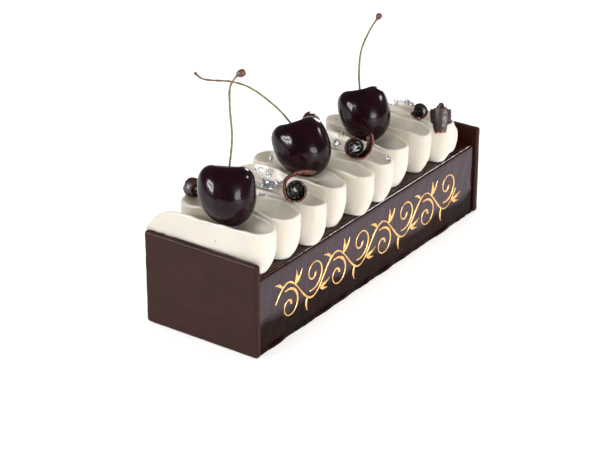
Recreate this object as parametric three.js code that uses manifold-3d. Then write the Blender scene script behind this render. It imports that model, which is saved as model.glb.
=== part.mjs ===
// A yule log cake, in millimetres, +Z up.
// A bar glazed with dark chocolate stands between two chocolate end plates. A ribbon of whipped cream,
// piped to and fro across the bar, lies on top, and carries three cherries with their stems and six
// curls of shaved chocolate. The origin is the middle of the bar's underside. The bar runs along X,
// and its decorated side faces -Y.
import * as THREE from "three";
import { RoundedBoxGeometry } from "three/addons/geometries/RoundedBoxGeometry.js";
import { mergeVertices } from "three/addons/utils/BufferGeometryUtils.js";
import Module from "manifold-3d";

// ---- Driving dimensions ----
const CAKE_LENGTH = 204.4; // over both end plates
const PLATE = { thick: 3.3, wide: 68.2, tall: 50, round: 0.9 };
const CLEARANCE = 0.3; // air kept between pieces that touch on the real cake
const BAR = { wide: 64.9, tall: 41.6, topRound: 3, footOut: 0.9, footTall: 2.6 };

const CREAM = {
  height: 23.3, // from the glaze to the ribbon's lip
  lip: 0.7, // half the thickness of the lip where a turn faces outwards
  bulge: 0.3, // how far an outward wall swells at half height
  tuck: 1.5, // how far an outward wall draws in at its foot
  tuckSharpness: 4,
  setBack: 3.6, // how far the turns' feet lie towards the middle of the bar
  setBackSharpness: 3,
  hold: 21, // length of ribbon on each side of a turn that keeps a full outward wall
  reach: 32, // length over which that wall has faded out
  crease: 0.2, // half the air between two passes that lie against each other
  thinnest: 1.1, // the least thickness where a wall draws in
  domeFrom: 9, // Y from which the first pass slopes down to its start
  domeLength: 28,
  startNarrow: 14, // the stretch over which the ribbon swells to its full thickness
  tailLength: 9, // the stretch over which the last pass slopes down to its end
};

// Distances from the middle of the bar between which the feet begin to be set back and are fully so.
const SET_BACK_FRONT = [18, 32];
const SET_BACK_REAR = [8, 22];

// Half the ribbon's thickness at each share of its height, where nothing stands in its way.
const THICKNESS = [
  [0, 4.2], [0.12, 5.3], [0.25, 5.6], [0.4, 5.1], [0.55, 4.2], [0.7, 3], [0.82, 1.9], [0.92, 1], [1, 0.25],
];
const CREAM_LEVELS = [0, 0.08, 0.22, 0.45, 0.7, 0.9, 1];

// The ribbon's loops. A front loop: X, Y of its tip, then X of its straight near side and X of its far
// side, which swells until it leans on the next loop. A back loop: X, Y of its tip, half width.
const FRONT_LOOPS = [
  [-90.9, -35.1, -98.1, -81.4], [-71.4, -35.3, -78.4, -60.6], [-51.9, -37.7, -57.9, -44.4],
  [-30.4, -33.8, -35.6, -19.8], [-11.2, -38.3, -15.9, -3.2], [7.4, -37.3, 2.8, 17],
  [27.4, -33.3, 20.9, 38.2], [48.4, -33.7, 44.8, 60.6], [67.9, -36.3, 62.6, 75.8],
];
const BACK_LOOPS = [
  [-82.2, 22.9, 8], [-62.2, 22.9, 6.5], [-40.4, 21.9, 8.6], [-21.7, 23.9, 8],
  [-1.2, 22.9, 6.5], [17.6, 22.9, 6], [39.3, 21.9, 7], [67.2, 15.9, 3.8],
];
// Control points of a loop: share of the way from the tip to its near (-) or far (+) side, distance back.
const FRONT_SHAPE = [
  [-1, 13], [-1, 6.5], [-0.72, 2], [-0.3, 0.25], [0, 0],
  [0.25, 0.35], [0.5, 2.6], [0.76, 7], [1, 15], [0.95, 22],
];
const BACK_SHAPE = [[-1, 9], [-0.76, 2.3], [0, 0], [0.76, 2.3], [1, 9]];
const RIBBON_START = [[-99.2, 36.2], [-99.4, 25.9], [-99.7, 10.9], [-99.4, -9.1]];
const RIBBON_END = [[78.3, -4.1], [77.8, 10.9]];
// The ribbon's torn-off end, smeared down the side of the last loop: middle, half sizes.
const TORN_END = { at: [78.8, -29.8, 50.5], half: [5.9, 2.3, 8.2] };

// lean: turns of the fruit in radians about its own width and depth, then about the vertical. skew: how
// far the tip of the fruit lies to one side.
const CHERRIES = [
  { name: "left", at: [-88.4, -5.8, 75], wide: 28.8, tall: 30.3, lean: [-0.4, 0.06, -0.955], skew: 2.9 },
  { name: "middle", at: [-22.5, -3.8, 74.9], wide: 28.6, tall: 30.6, lean: [-0.4, -0.31, -0.955], skew: 2.2 },
  { name: "right", at: [32.3, -4.7, 74.6], wide: 26.9, tall: 29.1, lean: [-0.4, -0.21, -0.955], skew: 1.6 },
];
const CHERRY = {
  rows: 13,
  columns: 24,
  shoulders: 2.8, // how square the upper half is: 2 is round
  base: 2, // the same for the lower half
  taper: 0.1,
  dimple: 0.3, // depth and width as shares of half the height and half the width
  dimpleWide: 0.34,
  lobes: 0.04,
};

const STEM = { radius: 0.5, sides: 8 };
const STEMS = [
  {
    name: "left", knob: 1.9,
    path: [[-84.9, -5.1, 83.9], [-82.9, -6.1, 102.4], [-83.4, -5.4, 119.8], [-83.1, -5.9, 129.6],
      [-81, -8.9, 134.9], [-79.1, -11.5, 136.5]],
  },
  {
    name: "middle", knob: 0.8,
    path: [[-21.8, 0.9, 84.5], [-26.2, 8.4, 94.9], [-34.2, 19.8, 106.1], [-39.3, 27, 109.1],
      [-47.6, 38.7, 110.7], [-49.8, 41.8, 114]],
  },
  {
    name: "right", knob: 1.5,
    path: [[33.7, -1.1, 84.1], [34, -0.1, 96.4], [34.6, -1, 108.8], [37.4, -4.9, 120.8], [40.2, -8.8, 128.3]],
  },
];

const CURL = {
  sheet: 0.95, // thickness of a chocolate shaving
  gap: 0.7, // air between its windings
  perTurn: 10, // points on each winding
  onTail: 7, // points on the tail
};
// at: middle of the near end. heading, pitch: degrees from +X and from level of its axis.
// near, far: radius at the two ends. turns: windings of the spiral.
// opens: degrees round the axis at which the sheet's outer edge lies. recess: how far the innermost
// winding starts behind the outermost. tail: where the sheet goes on from its edge, to the side and up.
// hand: -1 if it winds the other way. peak: how far the sheet rises to a point at its far end.
const CURLS = [
  { at: [-79.3, 17.8, 67.4], heading: 80, pitch: 0, length: 7, near: 4.8, far: 4.8, turns: 1.6, opens: 60 },
  {
    at: [-58.8, -26.1, 70.8], heading: 35.3, pitch: -20, length: 8, near: 5.9, far: 5.2, turns: 2.8,
    opens: 185, recess: 6.3, tail: [[-5.2, 4.9], [-1.6, 8], [3.2, 9.4], [9.6, 9.2]],
  },
  { at: [17, 18.2, 68.4], heading: 30, pitch: 0, length: 8, near: 4.8, far: 4.8, turns: 1.6, opens: 100 },
  {
    at: [0.7, -20.5, 70.8], heading: 35.3, pitch: -14, length: 6.5, near: 5.9, far: 4, turns: 1.9,
    opens: 270, hand: -1, recess: 1.5, tail: [[3.9, -5.3], [7.3, -2.4], [8.8, 1.6], [8.9, 5], [8.3, 7.6]],
  },
  {
    at: [59.6, -19, 68.7], heading: 2, pitch: 5, length: 7, near: 4.1, far: 4.6, turns: 2.1, opens: 200,
    recess: 3.5,
  },
  {
    at: [64.8, -32.3, 58.8], heading: 35.3, pitch: 64, length: 13.5, near: 4.6, far: 6.6, turns: 1.25,
    opens: 60, peak: 3.8,
  },
];
const BARREL = 0.8; // how much wider a curl is half way along

// ---- Helpers ----
const wasm = await Module();
wasm.setup();

const group = new THREE.Group();
const slots = {
  glaze: { color: "#3a1614", roughness: 0.12, metalness: 0 },
  plate: { color: "#3a221e", roughness: 0.42, metalness: 0 },
  cream: { color: "#f1e9dd", roughness: 0.5, metalness: 0 },
  cherry: { color: "#2a0a10", roughness: 0.12, metalness: 0 },
  stem: { color: "#6c6a34", roughness: 0.55, metalness: 0 },
  curl: { color: "#3b211c", roughness: 0.5, metalness: 0 },
};

function solidOf(geometry) {
  const bare = geometry.clone();
  bare.deleteAttribute("normal");
  bare.deleteAttribute("uv");
  const merged = mergeVertices(bare, 1e-4);
  return new wasm.Manifold(
    new wasm.Mesh({
      numProp: 3,
      vertProperties: new Float32Array(merged.attributes.position.array),
      triVerts: new Uint32Array(merged.index.array),
    }),
  );
}

function addNode(name, solid, slot) {
  const made = solid.getMesh();
  const geometry = new THREE.BufferGeometry();
  geometry.setAttribute("position", new THREE.BufferAttribute(made.vertProperties, 3));
  geometry.setIndex(new THREE.BufferAttribute(made.triVerts, 1));
  const mesh = new THREE.Mesh(geometry, new THREE.MeshStandardMaterial(slots[slot]));
  mesh.name = name;
  group.add(mesh);
}

// A closed surface through rings of points. Each end is closed by strips from one half of its ring to
// the other, so a ring may be as thin and wound as a curl's.
function loft(rings) {
  const size = rings[0].length;
  const index = [];
  const quad = (a, b, c, d) => index.push(a, b, c, a, c, d);
  for (let i = 0; i + 1 < rings.length; i += 1) {
    for (let k = 0; k < size; k += 1) {
      const next = (k + 1) % size;
      quad(i * size + k, i * size + next, (i + 1) * size + next, (i + 1) * size + k);
    }
  }
  const last = (rings.length - 1) * size;
  for (let k = 0; k + 1 < size / 2; k += 1) {
    quad(k, size - 1 - k, size - 2 - k, k + 1);
    quad(last + k, last + k + 1, last + size - 2 - k, last + size - 1 - k);
  }
  const geometry = new THREE.BufferGeometry();
  const places = rings.flat().flatMap((p) => p.toArray());
  geometry.setAttribute("position", new THREE.Float32BufferAttribute(places, 3));
  geometry.setIndex(index);
  const solid = solidOf(geometry);
  if (solid.volume() > 0) {
    return solid;
  }
  geometry.setIndex(index.reverse());
  return solidOf(geometry);
}

function interpolate(table, x) {
  const next = table.findIndex((row) => row[0] >= x);
  if (next <= 0) {
    return next === 0 ? table[0][1] : table.at(-1)[1];
  }
  const [x0, y0] = table[next - 1];
  const [x1, y1] = table[next];
  return y0 + ((y1 - y0) * (x - x0)) / (x1 - x0);
}

function curveThrough(points) {
  const places = points.map(([x, y, z = 0]) => new THREE.Vector3(x, y, z));
  return new THREE.CatmullRomCurve3(places, false, "centripetal");
}

const { clamp, smoothstep } = THREE.MathUtils;

// ---- The bar and its end plates ----
function plateSolid(x) {
  const box = new RoundedBoxGeometry(PLATE.thick, PLATE.wide, PLATE.tall, 2, PLATE.round);
  return solidOf(box).translate([x, 0, PLATE.tall / 2]);
}

function barSolid() {
  const half = BAR.wide / 2;
  const inset = half - BAR.topRound;
  const arcAt = BAR.tall - BAR.topRound;
  const outline = new THREE.Shape();
  outline.moveTo(-half - BAR.footOut * 0.6, 0);
  outline.lineTo(half + BAR.footOut * 0.6, 0);
  outline.quadraticCurveTo(half + BAR.footOut * 1.4, BAR.footTall * 0.6, half, BAR.footTall);
  outline.lineTo(half, arcAt);
  outline.absarc(inset, arcAt, BAR.topRound, 0, Math.PI / 2, false);
  outline.absarc(-inset, arcAt, BAR.topRound, Math.PI / 2, Math.PI, false);
  outline.lineTo(-half, BAR.footTall);
  outline.quadraticCurveTo(-half - BAR.footOut * 1.4, BAR.footTall * 0.6, -half - BAR.footOut * 0.6, 0);
  const length = CAKE_LENGTH - 2 * (PLATE.thick + CLEARANCE);
  const options = { depth: length, bevelEnabled: false, curveSegments: 7 };
  const geometry = new THREE.ExtrudeGeometry(outline, options);
  geometry.rotateX(Math.PI / 2);
  geometry.rotateZ(Math.PI / 2);
  geometry.translate(-length / 2, 0, 0);
  return solidOf(geometry);
}

// ---- The ribbon of cream ----
const CREAM_BASE = BAR.tall + CLEARANCE;
const FINE_STEP = 1; // the centre line is measured this finely, then sampled at the ring stations
const TIPS = FRONT_LOOPS.flatMap((loop, i) => [loop, ...BACK_LOOPS.slice(i, i + 1)]).map(([x, y]) => [x, y]);
const loopControls = FRONT_LOOPS.flatMap(([x, y, near, far], i) => {
  const front = FRONT_SHAPE.map(([side, back]) => [x + (side < 0 ? x - near : far - x) * side, y + back]);
  const back = BACK_LOOPS.slice(i, i + 1).flatMap(([bx, by, half]) =>
    BACK_SHAPE.map(([side, forward]) => [bx + side * half, by - forward]),
  );
  return [...front, ...back];
});

// The centre line at equal steps, with its right-hand normal and the room on each side. The room is the
// radius of the largest circle that touches the line here and crosses it nowhere, so walls that grow
// towards each other stop at the same place.
function centreLine() {
  const controls = [...RIBBON_START, ...loopControls, ...RIBBON_END];
  const curve = curveThrough(controls);
  curve.arcLengthDivisions = controls.length * 16;
  const count = Math.round(curve.getLength() / FINE_STEP);
  const points = curve.getSpacedPoints(count);
  const step = curve.getLength() / count;
  const normals = points.map((p, i) => {
    const ahead = points[Math.min(i + 1, count)];
    const behind = points[Math.max(i - 1, 0)];
    return new THREE.Vector3(ahead.y - behind.y, behind.x - ahead.x, 0).normalize();
  });
  const room = [1, -1].map((side) =>
    points.map((p, i) => {
      let least = 99;
      for (const other of points) {
        const away = other.clone().sub(p);
        const towards = away.dot(normals[i]) * side;
        if (towards > 1e-6 && away.lengthSq() > 4) {
          least = Math.min(least, away.lengthSq() / (2 * towards));
        }
      }
      return least - CREAM.crease;
    }),
  );
  const tips = TIPS.map(([x, y]) => {
    const tip = new THREE.Vector3(x, y, 0);
    const gaps = points.map((p) => p.distanceTo(tip));
    return gaps.indexOf(Math.min(...gaps));
  });
  return { points, normals, room, tips, step, count };
}

// Ring stations: close together round each tip, wide apart along the passes.
function stations({ tips, count }) {
  const round = [-13, -9.6, -6.4, -3.2, 0, 3.2, 6.4, 9.6, 13];
  const chosen = [0, 4, 8, 12, 17, 24, 33, 44];
  tips.forEach((tip, i) => {
    const past = tips[i + 1] ?? count;
    round.forEach((d) => chosen.push(tip + Math.round(d / FINE_STEP)));
    const free = past - tip - 26;
    [0.2, 0.4, 0.6, 0.8].forEach((share) => chosen.push(tip + 13 + Math.round(free * share)));
  });
  chosen.push(count - 9, count - 6, count - 3, count - 1, count);
  const within = chosen.filter((i) => i >= 0 && i <= count);
  return [...new Set(within)].sort((a, b) => a - b);
}

function creamSolid() {
  const line = centreLine();
  const { points, normals, room, tips, step, count } = line;
  // How far a side belongs to the outside of the nearest turn: front turns face right, back ones left.
  const outwardness = (i, side) => {
    if (side === 1 && (i < tips[0] || i > tips.at(-1))) {
      return 1;
    }
    const own = tips.filter((_, k) => (k % 2 === 0) === (side === 1));
    const nearest = Math.min(...own.map((tip) => Math.abs(tip - i))) * step;
    const faded = clamp((nearest - CREAM.hold) / (CREAM.reach - CREAM.hold), 0, 1);
    return Math.cos((Math.PI / 2) * faded) ** 2;
  };
  const heightShare = (i) => {
    const up = i * step < 60 ? clamp((points[i].y - CREAM.domeFrom) / CREAM.domeLength, 0, 1) : 0;
    const down = clamp(1 - ((count - i) * step) / CREAM.tailLength, 0, 1);
    return Math.sqrt(clamp(1 - up * up, 0.03, 1) * clamp(1 - down * down, 0.03, 1));
  };
  const wallPoint = (i, level, sideIndex) => {
    const side = sideIndex === 0 ? 1 : -1;
    const full = interpolate(THICKNESS, level);
    const swell = CREAM.bulge * Math.sin(Math.PI * level);
    const drawnIn = CREAM.tuck * (1 - level) ** CREAM.tuckSharpness;
    const opposite = room[1 - sideIndex][i];
    const wall = Math.max(Math.min(CREAM.lip, full) + swell - drawnIn, CREAM.thinnest - opposite);
    const outer = outwardness(i, side);
    const inner = outwardness(i, -side);
    const offset = (1 - outer) * full + outer * wall + inner * (full - wall);
    const swollen = 0.35 + 0.65 * Math.sqrt(clamp((i * step) / CREAM.startNarrow, 0, 1));
    const reach = Math.min(offset, room[sideIndex][i]) * swollen * side;
    const height = CREAM_BASE + CREAM.height * level * heightShare(i);
    const place = points[i].clone().addScaledVector(normals[i], reach).setZ(height);
    const inwards = smoothstep(-place.y, ...SET_BACK_FRONT) - smoothstep(place.y, ...SET_BACK_REAR);
    place.y += CREAM.setBack * inwards * (1 - level) ** CREAM.setBackSharpness;
    return place;
  };
  const rings = stations(line).map((i) => {
    const right = CREAM_LEVELS.map((level) => wallPoint(i, level, 0));
    const left = CREAM_LEVELS.map((level) => wallPoint(i, level, 1));
    return [...right, ...left.reverse()];
  });
  return loft(rings);
}

// ---- Cherries and stems ----
// A heart-like round: square shoulders with a dimple for the stem, a rounder, narrower lower half and
// a tip a little to one side. grow widens it.
function cherrySolid({ at, wide, tall, lean, skew }, grow) {
  const rings = [];
  for (let row = 0; row <= CHERRY.rows; row += 1) {
    const share = 0.02 + (0.96 * row) / CHERRY.rows;
    const angle = Math.PI * share - 0.425 * Math.sin(2 * Math.PI * share);
    const upper = THREE.MathUtils.smoothstep(Math.cos(angle), -0.3, 0.5);
    const power = 2 / THREE.MathUtils.lerp(CHERRY.base, CHERRY.shoulders, upper);
    const out = Math.sin(angle) ** power;
    const height = Math.sign(Math.cos(angle)) * Math.abs(Math.cos(angle)) ** power;
    const down = (1 - height) / 2;
    const dimple = CHERRY.dimple * Math.exp(-((out / CHERRY.dimpleWide) ** 2)) * upper;
    const ring = [];
    for (let column = 0; column < CHERRY.columns; column += 1) {
      const turn = (2 * Math.PI * column) / CHERRY.columns;
      const lobes = CHERRY.lobes * Math.cos(2 * turn) * out;
      const radius = ((wide / 2) * (1 - CHERRY.taper * down ** 2) * (1 + lobes / 3) + grow) * out;
      const x = radius * Math.cos(turn) + skew * down ** 2;
      const z = (tall / 2) * (height - dimple + lobes * upper) + grow * height;
      ring.push(new THREE.Vector3(x, radius * Math.sin(turn), z));
    }
    rings.push(ring);
  }
  const degrees = lean.map(THREE.MathUtils.radToDeg);
  return loft(rings).rotate([degrees[0], degrees[1], degrees[2]]).translate(at);
}

// grow widens the stem for its socket in the cherry.
function stemSolid({ path, knob }, grow) {
  const [foot, ...rest] = path;
  const curve = curveThrough([[foot[0], foot[1], foot[2] - grow], ...rest]);
  const steps = Math.round(curve.getLength() / 3.4);
  const frames = curve.computeFrenetFrames(steps, false);
  const rings = [];
  for (let i = 0; i <= steps; i += 1) {
    const left = (1 - i / steps) * curve.getLength();
    const swollen = Math.sqrt(clamp(1 - ((left - knob) / (knob * 1.35)) ** 2, 0, 1)) * knob;
    const radius = Math.max(STEM.radius, swollen) + grow;
    const centre = curve.getPointAt(i / steps);
    const ring = [];
    for (let k = 0; k < STEM.sides; k += 1) {
      const turn = (2 * Math.PI * k) / STEM.sides;
      const out = frames.normals[i].clone().multiplyScalar(Math.cos(turn));
      out.addScaledVector(frames.binormals[i], Math.sin(turn));
      ring.push(centre.clone().addScaledVector(out, radius));
    }
    rings.push(ring);
  }
  return loft(rings);
}

// ---- Chocolate curls ----
// The sheet seen end-on: a spiral that winds outwards to the full radius, then any tail. Returns the
// two faces of the sheet. For each point of them, inward is 1 on the innermost winding and 0 at the
// outer edge, and onTail runs from 0 to 1 along the tail.
function curlSection({ turns, opens, tail, near, hand = 1 }, radius) {
  const scale = radius / near;
  const end = THREE.MathUtils.degToRad(opens);
  const middle = [];
  const count = Math.round(turns * CURL.perTurn);
  for (let i = 0; i <= count; i += 1) {
    const back = turns * (1 - i / count);
    const angle = end + hand * 2 * Math.PI * back;
    const r = radius - CURL.sheet / 2 - (CURL.sheet + CURL.gap) * back;
    middle.push({ x: r * Math.cos(angle), y: r * Math.sin(angle), inward: 1 - i / count, onTail: 0 });
  }
  if (tail) {
    const { x, y } = middle.at(-1);
    const flap = curveThrough([[x, y], ...tail.map(([tx, ty]) => [tx * scale, ty * scale])]);
    for (let i = 1; i <= CURL.onTail; i += 1) {
      const p = flap.getPointAt(i / CURL.onTail);
      middle.push({ x: p.x, y: p.y, inward: 0, onTail: i / CURL.onTail });
    }
  }
  const face = (side) =>
    middle.map((p, i) => {
      const ahead = middle[Math.min(i + 1, middle.length - 1)];
      const behind = middle[Math.max(i - 1, 0)];
      const slope = new THREE.Vector2(ahead.x - behind.x, ahead.y - behind.y).setLength(CURL.sheet / 2);
      return { ...p, x: p.x - slope.y * side, y: p.y + slope.x * side };
    });
  return [...face(1), ...face(-1).reverse()];
}

function placeCurl(solid, { at, heading, pitch }) {
  // The section's X points to the viewer's right of the axis, its Y upwards, its Z along the axis.
  return solid.rotate([90, 0, 90]).rotate([0, -pitch, 0]).rotate([0, 0, heading]).translate(at);
}

// grow moves every point away from the axis and beyond the curl's ends.
function curlRings(curl, grow) {
  return [0, 0.5, 1].map((share) => {
    const radius = THREE.MathUtils.lerp(curl.near, curl.far, share) + BARREL * Math.sin(Math.PI * share);
    return curlSection(curl, radius).map((p) => {
      const out = 1 + grow / Math.hypot(p.x, p.y);
      const turn = Math.atan2(p.y, p.x) + Math.PI / 2;
      const peak = (curl.peak ?? 0) * Math.exp(-((turn / 0.5) ** 2));
      const start = (curl.recess ?? 0) * Math.sqrt(p.inward) - grow;
      const end = curl.length * (1 - 0.65 * p.onTail) + peak + grow;
      return new THREE.Vector3(-p.x * out, p.y * out, THREE.MathUtils.lerp(start, end, share));
    });
  });
}

const curlSolid = (curl) => placeCurl(loft(curlRings(curl, 0)), curl);

// The hollow that a curl presses into the cream: its convex hull, a little larger.
function curlSeat(curl) {
  const points = curlRings(curl, CLEARANCE + 0.15).flat();
  return placeCurl(wasm.Manifold.hull(points.map((p) => p.toArray())), curl);
}

// ---- The whole cake ----
const plateAt = (CAKE_LENGTH - PLATE.thick) / 2;
addNode("log_body", barSolid(), "glaze");
addNode("end_plate_left", plateSolid(-plateAt), "plate");
addNode("end_plate_right", plateSolid(plateAt), "plate");

let cream = creamSolid();
const tornEnd = wasm.Manifold.sphere(1, 16).scale(TORN_END.half);
cream = cream.add(tornEnd.translate(TORN_END.at));
const plateSeat = new RoundedBoxGeometry(
  PLATE.thick + 2 * CLEARANCE, PLATE.wide + 2 * CLEARANCE, PLATE.tall + CLEARANCE, 1, 0.2,
);
cream = cream.subtract(solidOf(plateSeat).translate([-plateAt, 0, (PLATE.tall + CLEARANCE) / 2]));
CHERRIES.forEach((cherry) => {
  cream = cream.subtract(cherrySolid(cherry, CLEARANCE + 0.05));
});
CURLS.forEach((curl) => {
  cream = cream.subtract(curlSeat(curl));
});
addNode("piped_cream", cream, "cream");

CHERRIES.forEach((cherry, i) => {
  const socket = stemSolid(STEMS[i], CLEARANCE + 0.05);
  addNode(`cherry_${cherry.name}`, cherrySolid(cherry, 0).subtract(socket), "cherry");
});
STEMS.forEach((stem) => addNode(`cherry_stem_${stem.name}`, stemSolid(stem, 0), "stem"));
CURLS.forEach((curl, i) => addNode(`chocolate_curl_${i + 1}`, curlSolid(curl), "curl"));

export default group;
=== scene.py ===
# %% [markdown]
# # A yule log cake
# The real cake is a bar of mousse and sponge under a dark mirror glaze, shut between two plates of
# tempered chocolate. A ribbon of whipped cream runs to and fro along the top, and carries cherries,
# chocolate curls and scraps of silver leaf.
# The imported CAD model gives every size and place. This script dresses it, one piece after another.

# %% Load the frame
import math

import bpy
import numpy as np
from mathutils import Matrix, Vector


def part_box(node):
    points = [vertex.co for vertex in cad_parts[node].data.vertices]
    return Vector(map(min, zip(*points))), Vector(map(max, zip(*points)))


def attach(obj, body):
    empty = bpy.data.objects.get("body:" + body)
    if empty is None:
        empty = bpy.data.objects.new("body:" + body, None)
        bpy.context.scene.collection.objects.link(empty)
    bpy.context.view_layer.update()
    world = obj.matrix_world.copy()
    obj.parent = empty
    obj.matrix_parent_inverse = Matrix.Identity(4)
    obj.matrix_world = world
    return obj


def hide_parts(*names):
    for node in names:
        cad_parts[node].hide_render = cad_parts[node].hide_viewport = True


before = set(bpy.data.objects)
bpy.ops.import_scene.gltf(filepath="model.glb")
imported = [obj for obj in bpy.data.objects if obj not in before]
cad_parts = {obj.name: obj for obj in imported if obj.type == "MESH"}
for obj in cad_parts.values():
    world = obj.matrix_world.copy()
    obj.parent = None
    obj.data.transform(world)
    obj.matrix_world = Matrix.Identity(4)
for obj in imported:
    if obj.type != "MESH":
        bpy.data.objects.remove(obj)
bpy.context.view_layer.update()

MM = 0.001
TINY = 1e-6
print("CAD nodes:", len(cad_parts))

# %% [markdown]
# ## Helpers for shapes
# Nearly every piece here is a row of rings: a profile carried along a path. One function turns such
# rings into a closed solid, so each piece only has to say where its rings lie. Lengths are in
# millimetres until make_piece turns them into Blender's metres.

# %% Rings to mesh
def closed_faces(count, size, caps):
    """Faces of a tube of `count` rings of `size` points: each quad joins two neighbouring points of a
    ring to the same two of the next. An end is closed by strips from one half of its ring to the
    other, or by a fan round one extra point, the ring's middle, which follows the rings' points."""
    index = np.arange(count * size).reshape(count, size)
    after = np.roll(index, -1, axis=1)
    quads = np.stack([index[:-1], after[:-1], after[1:], index[1:]], -1).reshape(-1, 4)
    if caps == "strips":
        k = np.arange(size // 2 - 1)
        lid = np.stack([k, size - 1 - k, size - 2 - k, k + 1], -1)
        return np.vstack([quads, lid, lid[:, ::-1] + index[-1, 0]]), np.empty((0, 3), int)
    first = np.full(size, count * size)
    fans = [np.stack([after[0], index[0], first], -1), np.stack([index[-1], after[-1], first + 1], -1)]
    return quads, np.vstack(fans)


def ring_solid(rings, caps="fans"):
    """Points (mm) and faces of a closed solid through rings x points x 3. The faces are turned to look
    outwards: the sign of the volume, a sum of triple products over them, says if they must be."""
    rings = np.asarray(rings, float)
    quads, triangles = closed_faces(rings.shape[0], rings.shape[1], caps)
    points = rings.reshape(-1, 3)
    if caps == "fans":
        points = np.vstack([points, rings[[0, -1]].mean(axis=1)])
    corners = np.vstack([quads[:, :3], quads[:, [0, 2, 3]], triangles])
    a, b, c = (points[corners[:, i]] for i in range(3))
    if (a * np.cross(b, c)).sum() < 0:
        quads, triangles = quads[:, ::-1], triangles[:, ::-1]
    return points, quads.tolist() + triangles.tolist()


def add_object(name, data):
    """A new object in the scene."""
    made = bpy.data.objects.new(name, data)
    bpy.context.scene.collection.objects.link(made)
    return made


def make_piece(name, solids, node=None, slot=None, **attributes):
    """One smooth-shaded object from one or more solids. It rides on the root body, and stands for
    the CAD node or nodes given. An attribute holds one number a point, in the solids' order."""
    points, faces, start = [], [], 0
    for solid_points, solid_faces in solids:
        points.append(solid_points)
        faces += [[corner + start for corner in face] for face in solid_faces]
        start += len(solid_points)
    mesh = bpy.data.meshes.new(name)
    mesh.from_pydata((np.vstack(points) * MM).tolist(), [], faces)
    mesh.shade_smooth()
    for key, values in attributes.items():
        layer = mesh.attributes.new(key, "FLOAT", "POINT")
        layer.data.foreach_set("value", np.ascontiguousarray(values, np.float32))
    piece = add_object(name, mesh)
    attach(piece, "root")
    if node:
        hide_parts(node)
    print(f"{name}: {len(mesh.vertices)} points, {len(mesh.polygons)} faces")
    return piece


# %% [markdown]
# ## Helpers for curves and unevenness
# Food is never quite even. A sum of sine waves with seeded directions gives a smooth, repeatable
# wobble. A centripetal spline draws a smooth line through a few chosen points without loops or
# overshoot, which is why it suits piping and stems.

# %% Splines and wobble
def spline(control, samples=12):
    """Centripetal Catmull-Rom curve: the parameter of each control point grows with the square root
    of its distance from the last, and three rounds of straight mixing give each sample."""
    control = np.asarray(control, float)
    padded = np.vstack([2 * control[0] - control[1], control, 2 * control[-1] - control[-2]])
    p0, p1, p2, p3 = padded[:-3], padded[1:-2], padded[2:-1], padded[3:]
    knot = lambda a, b: np.sqrt(np.linalg.norm(b - a, axis=1))[:, None, None]
    t1 = knot(p0, p1)
    t2 = t1 + knot(p1, p2)
    t3 = t2 + knot(p2, p3)
    t = t1 + (t2 - t1) * np.linspace(0, 1, samples, endpoint=False)[None, :, None]
    p0, p1, p2, p3 = (p[:, None, :] for p in (p0, p1, p2, p3))
    mix = lambda a, b, ta, tb: ((tb - t) * a + (t - ta) * b) / (tb - ta)
    a1, a2, a3 = mix(p0, p1, 0, t1), mix(p1, p2, t1, t2), mix(p2, p3, t2, t3)
    b1, b2 = mix(a1, a2, 0, t2), mix(a2, a3, t1, t3)
    return np.vstack([mix(b1, b2, t1, t2).reshape(-1, control.shape[1]), control[-1:]])


def even_spline(control, step):
    """The same curve at equal steps of about `step`, and the distance along it of each sample."""
    curve = spline(control)
    along = np.concatenate([[0], np.cumsum(np.linalg.norm(np.diff(curve, axis=0), axis=1))])
    even = np.linspace(0, along[-1], max(3, int(round(along[-1] / step)) + 1))
    return np.stack([np.interp(even, along, axis) for axis in curve.T], -1), even


def wobble(points, wavelength, seed, waves=7):
    """Smooth noise, mostly from -1 to 1: the sum of sines along seeded directions, each with its own
    phase and half to one and a half times the wavelength, over the root of their number."""
    draw = np.random.default_rng(seed)
    size = points.shape[-1]
    direction = draw.normal(size=(waves, size))
    direction /= np.linalg.norm(direction, axis=1)[:, None]
    rate = 2 * np.pi / (wavelength * draw.uniform(0.5, 1.5, waves))
    phase = draw.uniform(0, 2 * np.pi, waves)
    total = np.zeros(points.shape[:-1])
    for k in range(waves):
        total += np.sin(points @ direction[k] * rate[k] + phase[k])
    return total / math.sqrt(waves)


def wobbles(points, *layers):
    """Sum of wobbles, each given as (how far it swings, wavelength, seed)."""
    return sum(swing * wobble(points, wavelength, seed) for swing, wavelength, seed in layers)


def unit(values):
    """The values held between 0 and 1."""
    return np.clip(values, 0, 1)


def smooth_step(share):
    """From 0 to 1 with level ends: three times the square less twice the cube."""
    return share**2 * (3 - 2 * share)


def across_line(line):
    """Unit directions along a line and, for a flat line, the left-hand ones across it."""
    slope = np.gradient(line, axis=0)
    slope /= np.linalg.norm(slope, axis=1)[:, None]
    return slope, np.stack([-slope[:, 1], slope[:, 0]], -1)


# %% [markdown]
# ## Helpers for finishes
# Every finish is a Principled shader with some pattern on it. A number that is the same all over is
# typed on the shader itself. A pattern reads Object coordinates, so it stays on the piece.

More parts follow.
